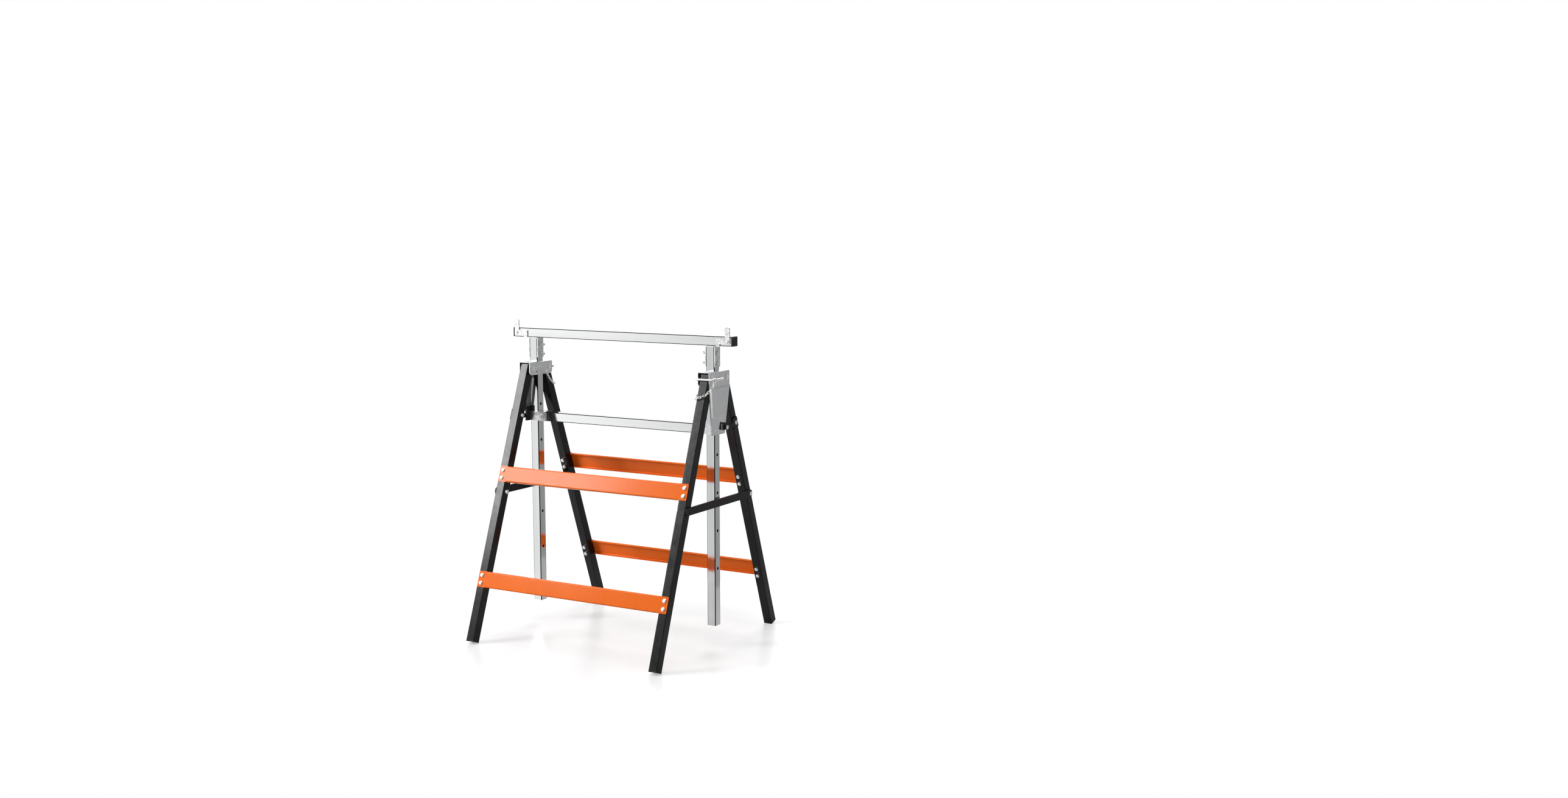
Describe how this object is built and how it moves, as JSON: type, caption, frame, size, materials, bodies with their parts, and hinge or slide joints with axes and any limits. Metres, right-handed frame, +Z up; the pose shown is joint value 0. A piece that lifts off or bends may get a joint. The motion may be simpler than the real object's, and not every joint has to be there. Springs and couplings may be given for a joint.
{
  "type": "builders trestle",
  "caption": "Folding builders trestle of square tube: leg frames hinged on head brackets, and a telescopic top bar that lifts and locks with wire pins.",
  "frame": {"origin": "on the floor, under the middle of the trestle", "axes": "+X to the right along the top bar, -Y to the front, +Z up"},
  "size_m": [0.706, 0.5968, 0.845],
  "materials": {
    "black_paint": "satin black powder coat",
    "orange_paint": "gloss orange powder coat",
    "bright_tube": "bright zinc plate",
    "grey_zinc": "satin zinc plate",
    "galvanised_sheet": "spangled galvanised sheet",
    "bright_zinc": "bright zinc fasteners",
    "black_plastic": "moulded plastic"
  },
  "bodies": {
    "head_frame": {"left_head": "grey_zinc", "right_head": "grey_zinc", "crossbar": "bright_tube", "left_guide": "galvanised_sheet", "right_guide": "galvanised_sheet", "guide_rear_straps": "galvanised_sheet", "guide_blocks": "black_plastic", "guide_bolts": "bright_zinc", "guide_nuts": "bright_zinc", "guide_rivets": "bright_zinc", "leg_pivot_rivets": "bright_zinc", "pivot_spacers": "grey_zinc", "chain_anchors": "bright_zinc", "left_pin_chain": "bright_zinc", "right_pin_chain": "bright_zinc"},
    "front_legs": {"front_left_leg": "black_paint", "front_right_leg": "black_paint", "front_upper_brace": "orange_paint", "front_lower_brace": "orange_paint", "front_brace_bolts": "bright_zinc", "front_brace_nuts": "bright_zinc", "front_foot_plugs": "black_plastic", "front_leg_bracket": "black_paint", "front_bracket_bolts": "bright_zinc", "front_bracket_nut": "bright_zinc", "front_hook_stud": "bright_zinc", "front_stay_bolt": "bright_zinc"},
    "rear_legs": {"rear_left_leg": "black_paint", "rear_right_leg": "black_paint", "rear_upper_brace": "orange_paint", "rear_lower_brace": "orange_paint", "rear_brace_bolts": "bright_zinc", "rear_brace_nuts": "bright_zinc", "rear_foot_plugs": "black_plastic", "rear_leg_bracket": "black_paint", "rear_bracket_bolts": "bright_zinc", "rear_bracket_nut": "bright_zinc", "rear_hook_stud": "bright_zinc", "rear_stay_bolt": "bright_zinc"},
    "upper_frame": {"top_bar": "bright_tube", "bar_end_caps": "black_plastic", "left_tube": "bright_tube", "right_tube": "bright_tube", "left_saddle": "galvanised_sheet", "right_saddle": "galvanised_sheet", "saddle_bolts": "bright_zinc", "saddle_nuts": "bright_zinc", "stop_rivets": "bright_zinc"},
    "left_stop_arm": {"left_stop": "galvanised_sheet"},
    "right_stop_arm": {"right_stop": "galvanised_sheet"},
    "left_stay_bar": {"left_stay": "black_paint"},
    "right_stay_bar": {"right_stay": "black_paint"},
    "left_pin": {"left_lock_pin": "bright_zinc"},
    "right_pin": {"right_lock_pin": "bright_zinc"}
  },
  "joints": [
    {"name": "lift", "type": "slide", "parent": "head_frame", "child": "upper_frame", "axis": [0, 0, 1], "range_m": [0, 0.5]},
    {"name": "front_fold", "type": "hinge", "parent": "head_frame", "child": "front_legs", "pos_m": [0, -0.036, 0.712], "axis": [1, 0, 0], "range_deg": [0, 13]},
    {"name": "rear_fold", "type": "hinge", "parent": "head_frame", "child": "rear_legs", "pos_m": [0, 0.036, 0.712], "axis": [-1, 0, 0], "range_deg": [0, 13]},
    {"name": "left_pin_slide", "type": "slide", "parent": "head_frame", "child": "left_pin", "axis": [-1, 0, 0], "range_m": [-0.007, 0.004], "deforming": ["left_pin_chain"]},
    {"name": "right_pin_slide", "type": "slide", "parent": "head_frame", "child": "right_pin", "axis": [1, 0, 0], "range_m": [-0.007, 0.004], "deforming": ["right_pin_chain"]},
    {"name": "left_stop_turn", "type": "hinge", "parent": "upper_frame", "child": "left_stop_arm", "pos_m": [-0.339, -0.0143, 0.8085], "axis": [0, 1, 0], "range_deg": [0, 90]},
    {"name": "right_stop_turn", "type": "hinge", "parent": "upper_frame", "child": "right_stop_arm", "pos_m": [0.339, -0.0143, 0.8085], "axis": [0, -1, 0], "range_deg": [0, 90]},
    {"name": "left_stay_lift", "type": "hinge", "parent": "front_legs", "child": "left_stay_bar", "pos_m": [-0.306, -0.15073, 0.388], "axis": [1, 0, 0], "range_deg": [0, 35]},
    {"name": "right_stay_lift", "type": "hinge", "parent": "rear_legs", "child": "right_stay_bar", "pos_m": [0.306, 0.15073, 0.388], "axis": [-1, 0, 0], "range_deg": [0, 35]}
  ]
}
